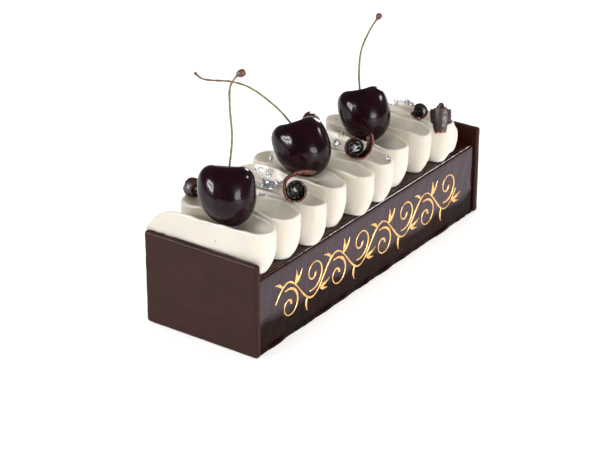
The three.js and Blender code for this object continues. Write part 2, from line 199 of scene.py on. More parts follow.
# %% Shader helpers
class Finish:
    """A material in the making: its shader, Object coordinates, and short ways to add nodes."""

    def __init__(self, name, **sockets):
        self.material = bpy.data.materials.new(name)
        self.material.use_nodes = True
        self.tree = self.material.node_tree
        self.shader = self.tree.nodes["Principled BSDF"]
        for socket, value in sockets.items():
            self.shader.inputs[socket.replace("_", " ")].default_value = value
        self.place = self.tree.nodes.new("ShaderNodeTexCoord").outputs["Object"]

    def node(self, kind, **values):
        """A node of that kind. A value goes to the input or, failing that, the setting of its name;
        an output socket is linked instead."""
        made = self.tree.nodes.new("ShaderNode" + kind)
        for key, value in values.items():
            socket = made.inputs.get(key.replace("_", " "))
            if socket is None:
                setattr(made, key, value)
            elif isinstance(value, bpy.types.NodeSocket):
                self.tree.links.new(value, socket)
            else:
                socket.default_value = value
        return made

    def link(self, output, socket):
        """Feeds an output to a socket of the shader."""
        self.tree.links.new(output, self.shader.inputs[socket])

    def noise(self, scale, detail=3.0, roughness=0.5, stretch=(1, 1, 1), distortion=0.0):
        """Noise of that many cells a metre, from 0 to 1. stretch multiplies the rate on each axis."""
        mapping = self.node("Mapping", Vector=self.place, Scale=stretch)
        made = self.node("TexNoise", Vector=mapping.outputs[0], Scale=scale, Detail=detail,
                         Roughness=roughness, Distortion=distortion)
        return made.outputs[0]

    def ramp(self, factor, *stops):
        """Colour by factor: each stop is (position, colour)."""
        made = self.node("ValToRGB", Fac=factor)
        elements = made.color_ramp.elements
        while len(elements) < len(stops):
            elements.new(0.5)
        for element, (position, colour) in zip(elements, stops):
            element.position = position
            element.color = (*colour, 1)
        return made.outputs["Color"]

    def value_ramp(self, factor, low, high, out_low=0.0, out_high=1.0):
        """Factor from low..high to out_low..out_high, held at both ends."""
        made = self.node("MapRange", Value=factor, From_Min=low, From_Max=high, To_Min=out_low,
                         To_Max=out_high)
        return made.outputs["Result"]

    def blend(self, factor, first, second):
        """Mix of two colours. Each is a colour or an output."""
        made = self.tree.nodes.new("ShaderNodeMix")
        made.data_type = "RGBA"
        sockets = [s for s in made.inputs if s.enabled]
        for socket, value in zip(sockets, (factor, first, second)):
            if isinstance(value, bpy.types.NodeSocket):
                self.tree.links.new(value, socket)
            else:
                socket.default_value = (*value, 1) if isinstance(value, tuple) else value
        return next(s for s in made.outputs if s.enabled)

    def combine(self, operation, first, second):
        """Sum, product or the like of two outputs."""
        made = self.node("Math", operation=operation)
        self.tree.links.new(first, made.inputs[0])
        self.tree.links.new(second, made.inputs[1])
        return made.outputs[0]

    def attribute(self, name):
        """What a piece stores at each point under that name."""
        return self.node("Attribute", attribute_name=name).outputs["Fac"]

    def bump(self, *layers):
        """Relief from (height output, depth in metres) layers, one on the other."""
        normal = None
        for height, depth in layers:
            made = self.node("Bump", Height=height, Distance=depth, Strength=1.0)
            if normal is not None:
                self.tree.links.new(normal, made.inputs["Normal"])
            normal = made.outputs["Normal"]
        self.link(normal, "Normal")


def srgb(red, green, blue):
    """A screen colour, 0 to 255, as the linear values that shaders use."""
    c = np.array([red, green, blue]) / 255
    linear = np.where(c <= 0.04045, c / 12.92, ((c + 0.055) / 1.055) ** 2.4)
    return tuple(float(v) for v in linear)


def dress(piece, finish):
    """Gives a piece its one material."""
    piece.data.materials.clear()
    piece.data.materials.append(finish.material)


# %% [markdown]
# ## Sizes read from the frame
# The CAD nodes' boxes say where the bar, its plates and the cream are. The numbers below that aren't
# boxes are the same named sizes that the solids are worked out from.

# %% Sizes
def node_box(name):
    """Lowest and highest corner of a CAD node, in millimetres."""
    low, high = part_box(name)
    return np.array(low) / MM, np.array(high) / MM


bar_low, bar_high = node_box("log_body")
plate_low, plate_high = node_box("end_plate_left")
cream_low, cream_high = node_box("piped_cream")
print("bar", bar_low.round(1), bar_high.round(1), "cream", cream_low.round(1), cream_high.round(1))

# %% [markdown]
# ## The glazed bar
# Mirror glaze is poured warm over the frozen bar, runs down the sides and sets. It is glass-smooth on
# top, faintly rippled on the sides, rounded at the top edges and gathered in a lumpy bead at the foot.
# A box with a bevel would look machined, so the section is drawn point by point and carried along the
# bar, while a slow wobble moves the sides in and out by about a tenth of a millimetre.

# %% Bar shape
BAR_HALF = 32.45  # half the width between the upright sides
TOP_ROUND = 3.0  # radius of the top edges
FOOT_TALL = 2.6  # height of the bead at the foot
FOOT_OUT = 0.5  # how far the bead stands out on average, and the lumps on it
FOOT_LUMPS = ((0.3, 34, 5), (0.14, 11, 6))
SIDE_RIPPLES = ((0.07, 16, 7), (0.03, 5, 8))
BAR_RINGS = 150


def bar_section():
    """Half of the section, from the middle of the underside round to the middle of the top: the flat
    underside, a bulge of half a sine for the foot, the upright side, a quarter circle, the flat top.
    Returns Y, Z and how much of the foot's bulge each point takes."""
    top = bar_high[2]
    rise = np.linspace(0, 1, 9)
    turn = np.linspace(0, np.pi / 2, 13)
    y = [np.linspace(0, BAR_HALF, 14)[:-1], np.full(9, BAR_HALF), np.full(19, BAR_HALF),
         BAR_HALF - TOP_ROUND + TOP_ROUND * np.cos(turn), np.linspace(BAR_HALF - TOP_ROUND, 0, 16)[1:]]
    z = [np.zeros(13), rise * FOOT_TALL, np.linspace(FOOT_TALL, top - TOP_ROUND, 21)[1:-1],
         top - TOP_ROUND + TOP_ROUND * np.sin(turn), np.full(15, top)]
    bulge = [np.zeros(13), np.sin(np.pi * (0.3 + 0.7 * rise)), np.zeros(19 + 13 + 15)]
    return np.concatenate(y), np.concatenate(z), np.concatenate(bulge)


section_y, section_z, section_bulge = (
    np.concatenate([half, sign * half[-2:0:-1]]) for half, sign in zip(bar_section(), (-1, 1, 1)))
bar_x = np.linspace(bar_low[0], bar_high[0], BAR_RINGS)
bar_rings = np.stack(np.broadcast_arrays(bar_x[:, None], section_y, section_z), -1)
side_of = np.sign(section_y) * (np.abs(section_y) > BAR_HALF - TOP_ROUND)
foot = np.clip(FOOT_OUT + wobbles(bar_rings[..., [0]], *FOOT_LUMPS), 0.05, 1)
# The ripples fade out towards the foot and the top edge.
upright = unit((section_z - 1) / 3) * unit((bar_high[2] - section_z) / 4)
bar_rings[..., 1] += side_of * (foot * section_bulge + wobbles(bar_rings, *SIDE_RIPPLES) * upright)
glazed_bar = make_piece("glazed_bar", [ring_solid(bar_rings)], "log_body", "glaze")

# %% [markdown]
# ## Mirror glaze
# The upper part of the side looks out on the room and is a cool purple brown, a painted reflection of
# the room. Its foot looks down on what the cake stands on, so it is plain dark brown and mirrors less.
# The limit wanders up and down by 4 mm. Round the top edge it is reddish. Heights are in metres.

# %% Glaze finish
FOOT_LIMIT = (0.013, 0.018)
LIMIT_WANDER = 0.004
RIM_LIMIT = (0.0375, 0.039)
FOOT_MIRROR, SIDE_MIRROR = 0.05, 0.42
glaze = Finish("mirror_glaze", Roughness=0.06, IOR=1.43)
thickness = glaze.noise(38, 3, stretch=(1, 1, 0.45))
height = glaze.node("SeparateXYZ", Vector=glaze.place).outputs["Z"]
wander = glaze.value_ramp(glaze.noise(30, 2), 0.3, 0.7, -LIMIT_WANDER, LIMIT_WANDER)
uneven_height = glaze.combine("ADD", height, wander)
low_colour = glaze.ramp(thickness, (0.3, srgb(22, 6, 3)), (0.7, srgb(34, 11, 5)))
# Painted reflection: the upper side's cool purple brown stands for the room mirrored in the glaze.
painted_room_reflection = glaze.ramp(thickness, (0.3, srgb(44, 20, 34)), (0.7, srgb(58, 30, 45)))
side_colour = glaze.blend(glaze.value_ramp(uneven_height, *FOOT_LIMIT), low_colour, painted_room_reflection)
rim = glaze.value_ramp(height, *RIM_LIMIT)
glaze.link(glaze.blend(rim, side_colour, srgb(44, 14, 9)), "Base Color")
mirror = glaze.value_ramp(uneven_height, *FOOT_LIMIT, FOOT_MIRROR, SIDE_MIRROR)
glaze.link(mirror, "Specular IOR Level")
glaze.bump((glaze.noise(420, 2, stretch=(1, 1, 0.5)), 0.00014), (glaze.noise(1500, 1), 0.000008))
dress(glazed_bar, glaze)

# %% [markdown]
# ## The end plates
# Each plate is cut from a sheet of tempered dark chocolate: flat, satin, with slightly worn edges and
# small bubbles. A rounded rectangle is carried through the plate's thickness, drawn in at both faces
# to round the edges, and its outline wanders by a tenth of a millimetre as a cut edge does.

# %% Plates
PLATE_CORNER = 1.3  # radius of the outline's corners
PLATE_ROUND = 0.85  # radius of the worn edge at each face
FACE_INSETS = (5, PLATE_ROUND + 0.15)  # rings inside the flat face


def plate_solid(low, high, seed):
    """Rings of a rounded rectangle in YZ. Through the thickness the inset follows a quarter circle at
    each face, and two rings inside the flat face keep its shading flat."""
    half_wide, half_tall = (high[1] - low[1]) / 2, (high[2] - low[2]) / 2
    mid = (low + high) / 2
    turn = np.linspace(0, np.pi / 2, 7)
    corner = np.stack([np.cos(turn), np.sin(turn)], -1) * PLATE_CORNER
    centre = np.array([half_wide - PLATE_CORNER, half_tall - PLATE_CORNER])
    corners = [corner + centre, corner[::-1] * [-1, 1] + centre * [-1, 1], -corner - centre,
               corner[::-1] * [1, -1] + centre * [1, -1]]
    edges = [np.linspace(corners[i][-1], corners[(i + 1) % 4][0], 30)[1:-1] for i in range(4)]
    outline = np.vstack([part for pair in zip(corners, edges) for part in pair])
    bend = np.linspace(0, np.pi / 2, 6)
    inset = np.concatenate([FACE_INSETS, PLATE_ROUND * (1 - np.sin(bend))])
    inset = np.concatenate([inset, inset[::-1]])
    rise = np.concatenate([[0, 0], PLATE_ROUND * (1 - np.cos(bend))])
    x = np.concatenate([low[0] + rise, high[0] - rise[::-1]])
    wander = 0.09 + wobbles(outline, (0.08, 11, seed), (0.04, 3, seed + 1))
    shrink = inset[:, None] + unit(wander)[None]
    size = 1 - shrink[..., None] / np.array([half_wide, half_tall])
    yz = outline[None] * size + mid[1:]
    yz[..., 1] = np.maximum(yz[..., 1], low[2])
    depth = np.broadcast_to(x[:, None, None], (*yz.shape[:2], 1))
    return ring_solid(np.concatenate([depth, yz], -1))


plates = [
    make_piece(f"chocolate_plate_{end}", [plate_solid(*node_box(f"end_plate_{end}"), seed)],
               f"end_plate_{end}", "plate")
    for end, seed in (("left", 21), ("right", 31))
]

# %% Plate finish
tempered = Finish("tempered_chocolate", Roughness=0.45, IOR=1.22)
bloom = tempered.noise(70, 4, 0.6)
specks = tempered.node("TexVoronoi", Vector=tempered.place, Scale=420.0)
dots = tempered.value_ramp(specks.outputs["Distance"], 0.10, 0.2, 0.25, 0.0)
colour = tempered.ramp(bloom, (0.3, srgb(46, 19, 13)), (0.7, srgb(57, 26, 19)))
tempered.link(tempered.blend(dots, colour, srgb(72, 44, 40)), "Base Color")
tempered.bump((tempered.noise(260, 3), 0.00005), (dots, 0.00002))
for plate in plates:
    dress(plate, tempered)

# %% [markdown]
# ## The ribbon of cream
# A flat nozzle held on edge lays one tall ribbon in a tight zigzag. At the foot the cream spreads until
# neighbouring passes meet, and at the top it ends in a thin lip, so each turn stands as a rounded
# scallop with a deep pocket behind it. A turn's foot lies some millimetres nearer to the middle of the
# bar than its lip. The ribbon is one sheet of varying thickness round a centre line. Thickness on each
# side stops where it would meet the next pass: the room on a side is the radius of the largest circle
# that touches the line there and crosses it nowhere.

# %% Ribbon sizes
CREAM_BASE = cream_low[2]
CREAM_HEIGHT = cream_high[2] - cream_low[2]
LIP = 0.7  # half the thickness of the lip where a turn faces outwards
BULGE = 0.3  # how far an outward wall swells at half height
TUCK, TUCK_SHARPNESS = 1.5, 4.0  # how far that wall draws in at its foot, and how abruptly
SET_BACK = 3.6  # how far a turn's foot lies towards the middle
SET_BACK_FROM = {-1: (18.0, 32.0), 1: (8.0, 22.0)}  # where that grows, in front (-1) and behind (1)
HOLD, REACH = 21.0, 32.0  # from a turn to the end of its full wall, and to where it has faded
CREASE = 0.08  # half the air between two passes that lean on each other
THINNEST = 1.1
LEAST_STEP = 2.0  # points nearer than this count as the same place
NO_LIMIT = 99.0
FIRST_PASS = 60.0  # length of ribbon in which it slopes down to its start
DOME_FROM, DOME_LENGTH = 9.0, 28.0
START_NARROW, START_SHARE = 14.0, 0.35  # length over which the start widens, and its first share
TAIL_LENGTH = 9.0
LEAST_RISE = 0.03
# Share of the height, then half the thickness of the free ribbon there.
HALF_THICKNESS = [(0, 4.2), (0.12, 5.3), (0.25, 5.6), (0.4, 5.1), (0.55, 4.2), (0.7, 3), (0.82, 1.9),
                  (0.92, 1.0), (0.965, 0.78), (0.99, 0.5), (1, 0.12)]
# Shares of the height at which the rings have points.
LEVELS = np.array([0, 0.02, 0.05, 0.09, 0.14, 0.2, 0.27, 0.34, 0.42, 0.5, 0.58, 0.66, 0.73, 0.8, 0.86,
                   0.91, 0.945, 0.97, 0.987, 0.996, 1])
# A front loop is X, Y of its tip, then X of its straight near side and of its far side, which swells
# until it leans on the next loop. A back loop is X, Y of its tip and half its width.
FRONT_LOOPS = [
    (-90.9, -35.1, -98.1, -81.4), (-71.4, -35.3, -78.4, -60.6), (-51.9, -37.7, -57.9, -44.4),
    (-30.4, -33.8, -35.6, -19.8), (-11.2, -38.3, -15.9, -3.2), (7.4, -37.3, 2.8, 17),
    (27.4, -33.3, 20.9, 38.2), (48.4, -33.7, 44.8, 60.6), (67.9, -36.3, 62.6, 75.8),
]
BACK_LOOPS = [
    (-82.2, 22.9, 8), (-62.2, 22.9, 6.5), (-40.4, 21.9, 8.6), (-21.7, 23.9, 8),
    (-1.2, 22.9, 6.5), (17.6, 22.9, 6), (39.3, 21.9, 7), (67.2, 15.9, 3.8),
]
# Control points of a loop: share of the way from the tip to its near (-) or far (+) side, and the
# distance back from the tip.
FRONT_SHAPE = ((-1, 13), (-1, 6.5), (-0.72, 2), (-0.3, 0.25), (0, 0),
               (0.25, 0.35), (0.5, 2.6), (0.76, 7), (1, 15), (0.95, 22))
BACK_SHAPE = ((-1, 9), (-0.76, 2.3), (0, 0), (0.76, 2.3), (1, 9))
RIBBON_START = [(-99.2, 36.2), (-99.4, 25.9), (-99.7, 10.9), (-99.4, -9.1)]
RIBBON_END = [(78.3, -4.1), (77.8, 10.9)]


# %% Ribbon centre line
def ribbon_line():
    """The zigzag centre line at steps of about 1 mm, its right-hand normals, the distance along it,
    and the distance at which each turn has its tip."""
    controls, tips = list(RIBBON_START), []
    for i, (x, y, near, far) in enumerate(FRONT_LOOPS):
        controls += [(x + side * (x - near if side < 0 else far - x), y + back)
                     for side, back in FRONT_SHAPE]
        tips.append((x, y))
        for x, y, half in BACK_LOOPS[i:i + 1]:
            controls += [(x + side * half, y - back) for side, back in BACK_SHAPE]
            tips.append((x, y))
    line, along = even_spline(controls + RIBBON_END, 1.0)
    at_tip = np.linalg.norm(line[:, None] - np.array(tips)[None], axis=2).argmin(axis=0)
    return line, -across_line(line)[1], along, along[at_tip]


def room_beside(line, normals, side):
    """For each point, the least of (distance to another point squared) / (twice how far that point
    lies out along the normal): the radius of the touching circle through it."""
    away = line[None] - line[:, None]
    square = (away**2).sum(axis=2)
    out = (away * normals[:, None]).sum(axis=2) * side
    facing = (out > TINY) & (square > LEAST_STEP**2)
    radius = np.where(facing, square / (2 * np.maximum(out, TINY)), NO_LIMIT)
    return radius.min(axis=1) - CREASE


line, normals, along, tips = ribbon_line()
room = {side: room_beside(line, normals, side) for side in (1, -1)}
print(f"ribbon: {along[-1]:.0f} mm long, {len(tips)} turns")


# %% Ribbon walls
def outward_share(side):
    """1 within HOLD of a turn that has this side outside, falling as a squared cosine to 0 at REACH."""
    own = tips[0::2] if side == 1 else tips[1::2]
    nearest = np.abs(along[:, None] - own[None]).min(axis=1)
    share = np.cos(np.pi / 2 * unit((nearest - HOLD) / (REACH - HOLD))) ** 2
    if side == 1:
        share[(along < tips[0]) | (along > tips[-1])] = 1
    return share


def ribbon_rings():
    """Rings across the ribbon: up the right wall and down the left one. A wall's distance from the
    centre line mixes the full half thickness with an outward wall's lip, bulge and tucked-in foot.
    Its set-back is a smooth step of the distance from the bar's middle, times the cube of the depth
    below the lip. Both ends of the ribbon fall away as quarter ellipses."""
    share = {side: outward_share(side)[:, None] for side in (1, -1)}
    full = np.interp(LEVELS, *zip(*HALF_THICKNESS))[None]
    swell = BULGE * np.sin(np.pi * LEVELS) - TUCK * (1 - LEVELS) ** TUCK_SHARPNESS
    drop = np.where(along < FIRST_PASS, unit((line[:, 1] - DOME_FROM) / DOME_LENGTH), 0)
    tail = unit(1 - (along[-1] - along) / TAIL_LENGTH)
    rise = np.sqrt(np.clip(1 - drop**2, LEAST_RISE, 1) * np.clip(1 - tail**2, LEAST_RISE, 1))
    narrow = START_SHARE + (1 - START_SHARE) * np.sqrt(unit(along / START_NARROW))
    walls = []
    for side in (1, -1):
        outer, inner = share[side], share[-side]
        wall = np.maximum(np.minimum(LIP, full) + swell, THINNEST - room[-side][:, None])
        offset = (1 - outer) * full + outer * wall + inner * (full - wall)
        offset = np.minimum(offset, room[side][:, None]) * narrow[:, None]
        flat = line[:, None] + normals[:, None] * (side * offset)[..., None]
        for end, (start, full_from) in SET_BACK_FROM.items():
            ease = smooth_step(unit((flat[..., 1] * end - start) / (full_from - start)))
            flat[..., 1] -= end * SET_BACK * ease * (1 - LEVELS[None]) ** 3
        height = CREAM_BASE + CREAM_HEIGHT * LEVELS[None] * rise[:, None]
        walls.append(np.concatenate([flat, height[..., None]], -1))
    return np.concatenate([walls[0], walls[1][:, ::-1]], axis=1)


cream_rings = ribbon_rings()

# %% [markdown]
# ## What presses into the cream
# Piped cream isn't machined either: the lips dip and rise a little, the walls swell unevenly, and each
# cherry has sunk in and pushed a low collar of cream outwards. The wobble is added to the rings, then
# points inside a cherry's round are moved out along its radius, and those just outside are crowded
# together, which makes the collar.

# %% Cherries and their collars
CHERRIES = {
    "left": {"at": (-88.4, -5.8, 75), "wide": 28.8, "tall": 30.3,
             "lean": (-0.4, 0.06, -0.955), "skew": 2.9},
    "middle": {"at": (-22.5, -3.8, 74.9), "wide": 28.6, "tall": 30.6,
               "lean": (-0.4, -0.31, -0.955), "skew": 2.2},
    "right": {"at": (32.3, -4.7, 74.6), "wide": 26.9, "tall": 29.1,
              "lean": (-0.4, -0.21, -0.955), "skew": 1.6},
}
SINK = 4.5  # depth inside a cherry's round from which cream is pushed out
COLLAR = 1.8  # width of the collar round it
BEDDING = 0.5  # how far the cream reaches inside the cherry's widest round
WALL_WOBBLES = ((0.16, 14, 41), (0.06, 4, 42))
LIP_WOBBLE = 0.35


def press_round(points, centre, radius):
    """Moves points within the radius plus COLLAR of the centre: distances from radius - SINK up to
    radius + COLLAR are squeezed evenly into those from radius to radius + COLLAR."""
    away = points - centre
    distance = np.linalg.norm(away, axis=-1)
    share = unit((distance - (radius - SINK)) / (SINK + COLLAR))
    moved = np.where(distance < radius + COLLAR, radius + share * COLLAR, distance)
    return centre + away * (moved / np.maximum(distance, TINY))[..., None]


level_of = np.concatenate([LEVELS, LEVELS[::-1]])[None]
wall_side = np.repeat([1.0, -1.0], len(LEVELS))
uneven = wobbles(cream_rings, *WALL_WOBBLES) * (1 - level_of**3)
cream_rings[..., 2] += LIP_WOBBLE * (wobble(cream_rings[..., :2], 17, 43) - 1) * level_of**2
cream_rings[..., :2] += normals[:, None] * (wall_side * uneven)[..., None]
for cherry in CHERRIES.values():
    cream_rings = press_round(cream_rings, np.array(cherry["at"]), cherry["wide"] / 2 - BEDDING)
# Below the left plate's top, the cream stays a tenth of a millimetre clear of the plate.
beside_plate = cream_rings[..., 2] < plate_high[2] + 0.2
clear_x = np.where(beside_plate, plate_high[0] + 0.1, -np.inf)
cream_rings[..., 0] = np.maximum(cream_rings[..., 0], clear_x)
cream_rings[..., 2] = np.clip(cream_rings[..., 2], CREAM_BASE, cream_high[2])


def lump(centre, half, seed):
    """A ball stretched to three half sizes, its surface wandering by a twentieth."""
    a = np.linspace(0.03, np.pi - 0.03, 40)[:, None]
    t = np.linspace(0, 2 * np.pi, 60, endpoint=False)[None]
    ball = np.stack([np.sin(a) * np.cos(t), np.sin(a) * np.sin(t), np.cos(a) * np.ones_like(t)], -1)
    ball *= 1 + 0.05 * wobble(ball, 0.9, seed)[..., None]
    return ring_solid(ball * np.array(half) * 0.96 + np.array(centre))


torn_end = lump((78.8, -29.8, 50.5), (5.9, 2.3, 8.2), 44)
cream = make_piece("cream_ribbon", [ring_solid(cream_rings, "strips"), torn_end], "piped_cream", "cream")

# %% [markdown]
# ## Whipped cream
# Set whipped cream is off-white, satin rather than glossy, and lets a little light in. Seeds of
# vanilla show as rare dark points, and fat gathers in faint straw-coloured patches.

# %% Cream finish
whipped = Finish("whipped_cream", Roughness=0.42, IOR=1.42, Subsurface_Weight=0.35,
                 Subsurface_Scale=0.004)
whipped.shader.inputs["Subsurface Radius"].default_value = (1.0, 0.75, 0.5)
tone = whipped.noise(24, 3)
base = whipped.ramp(tone, (0.3, srgb(228, 220, 207)), (0.7, srgb(238, 231, 220)))
straw = whipped.value_ramp(whipped.noise(46, 2, distortion=0.6), 0.64, 0.8, 0.0, 0.45)
base = whipped.blend(straw, base, srgb(240, 221, 170))
seeds = whipped.node("TexVoronoi", Vector=whipped.place, Scale=190.0)
near_seed = whipped.value_ramp(seeds.outputs["Distance"], 0.045, 0.075, 1.0, 0.0)
cell_red = whipped.node("SeparateColor", Color=seeds.outputs["Color"]).outputs[0]
chosen = whipped.value_ramp(cell_red, 0.72, 0.74)  # keeps about a quarter of the cells
seed_mask = whipped.combine("MULTIPLY", near_seed, chosen)
whipped.link(whipped.blend(seed_mask, base, srgb(62, 44, 34)), "Base Color")
whipped.bump((whipped.noise(120, 3, stretch=(1, 1, 2.2)), 0.00012), (whipped.noise(900, 2), 0.00002))
dress(cream, whipped)

# %% [markdown]
# ## Cherries
# A sweet cherry has broad square shoulders, a dimple round its stem, a shallow seam down one side and
# a rounder, narrower lower half whose tip lies a little to one side. A superellipse gives that: sine
# and cosine raised to 2 / n, where n = 2 is a circle and a larger n is squarer.

# %% Cherry shape
def tilt(lean):
    """Turning matrix for angles about X, then Y, then Z."""
    cos, sin = np.cos(lean), np.sin(lean)
    about_x = np.array([[1, 0, 0], [0, cos[0], -sin[0]], [0, sin[0], cos[0]]])
    about_y = np.array([[cos[1], 0, sin[1]], [0, 1, 0], [-sin[1], 0, cos[1]]])
    about_z = np.array([[cos[2], -sin[2], 0], [sin[2], cos[2], 0], [0, 0, 1]])
    return about_z @ about_y @ about_x


SHOULDERS, BASE = 2.8, 2.0  # the superellipse's n above and below
TAPER = 0.1
DIMPLE, DIMPLE_WIDE = 0.3, 0.34  # as shares of half the height and half the width
LOBES = 0.04
SEAM_DEEP, SEAM_AT, SEAM_WIDE = 0.012, 4.4, 0.13  # share of the radius, then radians


def cherry_solid(at, wide, tall, lean, skew, seed):
    """Angle a runs from the dimple down, turn t round. The power of its sine and cosine is 2 / n, n
    going from SHOULDERS above to BASE below. A bell-shaped dimple and a two-lobed wave change the
    height; a taper, the lobes and a narrow seam change the radius; the skew moves the tip aside."""
    share = np.linspace(0.012, 0.988, 80)[:, None]
    a = np.pi * share - 0.425 * np.sin(2 * np.pi * share)
    t = np.linspace(0, 2 * np.pi, 120, endpoint=False)[None]
    upper = smooth_step(unit((np.cos(a) + 0.3) / 0.8))
    power = 2 / (BASE + (SHOULDERS - BASE) * upper)
    out = np.sin(a) ** power
    height = np.sign(np.cos(a)) * np.abs(np.cos(a)) ** power
    down = (1 - height) / 2
    dimple = DIMPLE * np.exp(-((out / DIMPLE_WIDE) ** 2)) * upper
    seam = SEAM_DEEP * np.exp(-(((t - SEAM_AT) / SEAM_WIDE) ** 2)) * np.sin(a)
    lobes = LOBES * np.cos(2 * t) * out
    radius = wide / 2 * (1 - TAPER * down**2) * (1 + lobes / 3 - seam) * out
    shape = np.stack([radius * np.cos(t) + skew * down**2, radius * np.sin(t),
                      tall / 2 * (height - dimple + lobes * upper)], -1)
    shape *= 1 + 0.004 * wobble(shape, 12, seed)[..., None]
    return ring_solid(shape @ tilt(np.array(lean)).T + np.array(at))


cherries = [
    make_piece(f"cherry_fruit_{name}", [cherry_solid(seed=60 + i, **cherry)], f"cherry_{name}", "cherry")
    for i, (name, cherry) in enumerate(CHERRIES.items())
]

# %% Cherry skin
skin = Finish("cherry_skin", Roughness=0.15, IOR=1.3)
flesh = skin.noise(90, 4, 0.6)
skin.link(skin.ramp(flesh, (0.32, srgb(19, 4, 10)), (0.68, srgb(36, 8, 18))), "Base Color")
skin.bump((skin.noise(300, 2), 0.00004))
for cherry in cherries:
    dress(cherry, skin)

# %% [markdown]
# ## Stems
# A cherry's stem is a thin, crooked stalk, green near the fruit, that swells to a woody brown knob
# where it left the twig. A round section is carried along a spline, and each point keeps how far along
# the stem it lies, which the finish turns into colour.

# %% Stem shape
STEM_RADIUS = 0.5
STEM_SIDES = 20
STEM_STEP = 0.45
KNOB_STRETCH = 1.35  # the knob's length over its width
ASLANT = np.array([0.8, 0.58, 0.1])  # a direction that no stem follows
STEMS = {
    "left": {"knob": 1.9, "path": [(-84.9, -5.1, 83.9), (-82.9, -6.1, 102.4), (-83.4, -5.4, 119.8),
                                   (-83.1, -5.9, 129.6), (-81, -8.9, 134.9), (-79.1, -11.5, 136.5)]},
    "middle": {"knob": 0.8, "path": [(-21.8, 0.9, 84.5), (-26.2, 8.4, 94.9), (-34.2, 19.8, 106.1),
                                     (-39.3, 27, 109.1), (-47.6, 38.7, 110.7), (-49.8, 41.8, 114)]},
    "right": {"knob": 1.5, "path": [(33.7, -1.1, 84.1), (34, -0.1, 96.4), (34.6, -1, 108.8),
                                    (37.4, -4.9, 120.8), (40.2, -8.8, 128.3)]},
}


def stem_solid(path, knob, seed):
    """A circle square to the path at each step. Its radius is the stem's, or near the far end that of
    a stretched ball on the path, whichever is more, and it ends on the ball. Also the share of the
    stem's length at each point."""
    centre, distance = even_spline(path, STEM_STEP)
    left = distance[-1] - distance
    ball = knob * np.sqrt(unit(1 - ((left - knob) / (knob * KNOB_STRETCH)) ** 2))
    radius = np.maximum(STEM_RADIUS * (1 + 0.1 * wobble(centre, 5, seed)), ball)
    slope = across_line(centre)[0]
    side = np.cross(slope, ASLANT)
    side /= np.linalg.norm(side, axis=1)[:, None]
    other = np.cross(slope, side)
    t = np.linspace(0, 2 * np.pi, STEM_SIDES, endpoint=False)
    circle = np.stack([np.cos(t), np.sin(t)], -1)
    rough = 1 + 0.08 * (ball[:, None] > STEM_RADIUS) * wobble(circle, 1.2, seed)
    ring = side[:, None] * circle[:, [0]] + other[:, None] * circle[:, [1]]
    share = np.repeat(distance / distance[-1], STEM_SIDES)
    solid = ring_solid(centre[:, None] + ring * (radius[:, None] * rough)[..., None])
    return solid, np.concatenate([share, [0, 1]])


# %% Stem finish
stalk = Finish("cherry_stalk", Roughness=0.5, IOR=1.45)
green = stalk.ramp(stalk.attribute("along"), (0.0, srgb(124, 120, 44)), (0.6, srgb(116, 112, 46)),
                   (0.86, srgb(120, 96, 46)), (0.97, srgb(104, 54, 36)))
mottle = stalk.value_ramp(stalk.noise(700, 3), 0.45, 0.75, 0.0, 0.55)
stalk.link(stalk.blend(mottle, green, srgb(70, 58, 30)), "Base Color")
stalk.bump((stalk.noise(1200, 3, stretch=(1, 1, 0.25)), 0.00008))
for i, (name, stem) in enumerate(STEMS.items()):
    solid, share = stem_solid(seed=70 + i, **stem)
    dress(make_piece(f"cherry_stalk_{name}", [solid], f"cherry_stem_{name}", "stem", along=share), stalk)

# %% [markdown]
# ## Chocolate curls
# Drawing a knife over a block of chocolate rolls up a thin sheet. Its faces are dull, and its two cut
# ends are ragged and show a warmer brown, partly the chocolate's own and partly painted light where the
# outer winding's rim catches the lamps. The section is a spiral with the sheet's thickness, carried
# along the curl's axis. The inner windings start behind the outer ones, so one looks into a dark cup,
# and the sheet's last stretch may stand off as a flap. Each point keeps how close it is to a cut end
# and how far inside the roll, for the finish: the windings within are darkened as painted shade, and
# the cut ends' brown is kept off them.

# %% Curl sizes
CURL_SHEET, CURL_GAP = 0.95, 0.7  # thickness of the sheet, air between two windings
BARREL = 0.8  # how far a curl swells halfway along
END_ROUND = 0.25  # length over which the sheet thins at a cut end
CUT_DEEP = 1.2  # how far in a cut end's colour reaches
FLAP_NARROW = 0.65  # share of its length that the flap loses towards its tip
PEAK_WIDE = 0.5  # in radians round the curl
# INNER_SHADE: the share of painted shade on the inner face of the outer winding.
INNER_SHADE = 0.75
SPIRAL_STEPS, SECTION_STEPS = 10, 110  # points a winding, points a section
